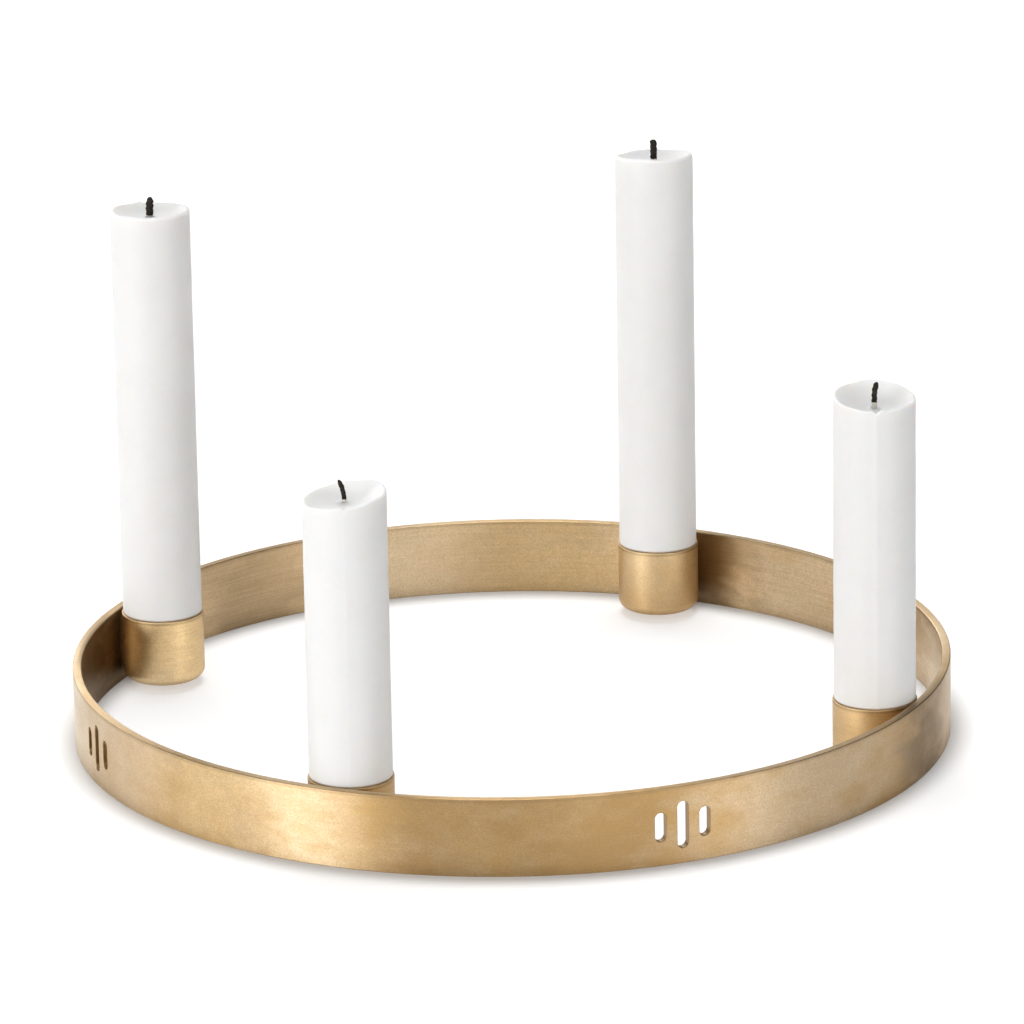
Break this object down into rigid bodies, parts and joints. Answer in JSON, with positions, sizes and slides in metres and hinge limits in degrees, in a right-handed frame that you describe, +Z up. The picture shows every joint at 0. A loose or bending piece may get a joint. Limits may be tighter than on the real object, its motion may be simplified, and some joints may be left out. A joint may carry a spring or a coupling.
{
  "type": "advent candle holder",
  "caption": "Brass band bent into a ring that stands on its edge, pierced with slots, with drawn cups brazed inside it that hold burnt white candles.",
  "frame": {"origin": "centre of the ring on the table plane that the band's lower edge stands on", "axes": "+Z up along the ring's axis and the candles; +X towards the right cup and +Y towards the back cup"},
  "size_m": [0.25, 0.25, 0.1463],
  "materials": {
    "brass": "satin",
    "braze": "satin",
    "wax": "matte",
    "wick": "matte"
  },
  "bodies": {
    "holder": {"band": "brass", "band_seam": "braze", "cup_right": "brass", "cup_back": "brass", "cup_left": "brass", "cup_front": "brass", "cup_braze_right": "braze", "cup_braze_back": "braze", "cup_braze_left": "braze", "cup_braze_front": "braze"},
    "right_candle": {"candle_right": "wax", "wick_right": "wick"},
    "back_candle": {"candle_back": "wax", "wick_back": "wick"},
    "left_candle": {"candle_left": "wax", "wick_left": "wick"},
    "front_candle": {"candle_front": "wax", "wick_front": "wick"}
  },
  "joints": [
    {"name": "right_candle_lift", "type": "slide", "parent": "holder", "child": "right_candle", "axis": [0, 0, 1], "range_m": [0, 0.03]},
    {"name": "back_candle_lift", "type": "slide", "parent": "holder", "child": "back_candle", "axis": [0, 0, 1], "range_m": [0, 0.03]},
    {"name": "left_candle_lift", "type": "slide", "parent": "holder", "child": "left_candle", "axis": [0, 0, 1], "range_m": [0, 0.03]},
    {"name": "front_candle_lift", "type": "slide", "parent": "holder", "child": "front_candle", "axis": [0, 0, 1], "range_m": [0, 0.03]}
  ]
}
